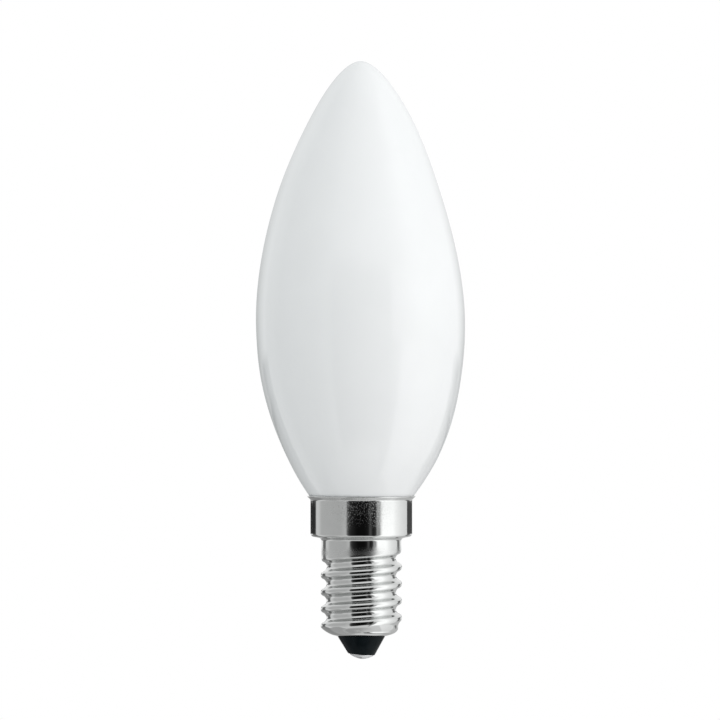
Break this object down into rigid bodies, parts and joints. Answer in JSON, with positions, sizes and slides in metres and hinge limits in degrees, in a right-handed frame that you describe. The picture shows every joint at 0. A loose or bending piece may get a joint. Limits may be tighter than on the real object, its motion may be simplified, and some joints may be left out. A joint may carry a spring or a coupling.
{
  "type": "candle bulb",
  "caption": "Candle-shaped white glass lamp bulb on a pressed metal screw cap, with a black glass insulator and a domed centre contact.",
  "frame": {"origin": "lowest point of the centre contact, on the bulb's axis", "axes": "+Z along the axis, from the contact to the glass tip; +X to the right in the picture's view, which looks along +Y"},
  "size_m": [0.035, 0.035, 0.1],
  "materials": {
    "white_glass": "clear gloss over a white inner coat",
    "nickel_plate": "bright nickel plate",
    "black_glass": "gloss black",
    "tinned_contact": "tinned",
    "solder": "satin solder",
    "cement": "matt"
  },
  "bodies": {
    "root": {"glass_bulb": "white_glass", "screw_shell": "nickel_plate", "insulator": "black_glass", "centre_contact": "tinned_contact", "contact_solder": "solder", "capping_cement": "cement"}
  },
  "joints": []
}
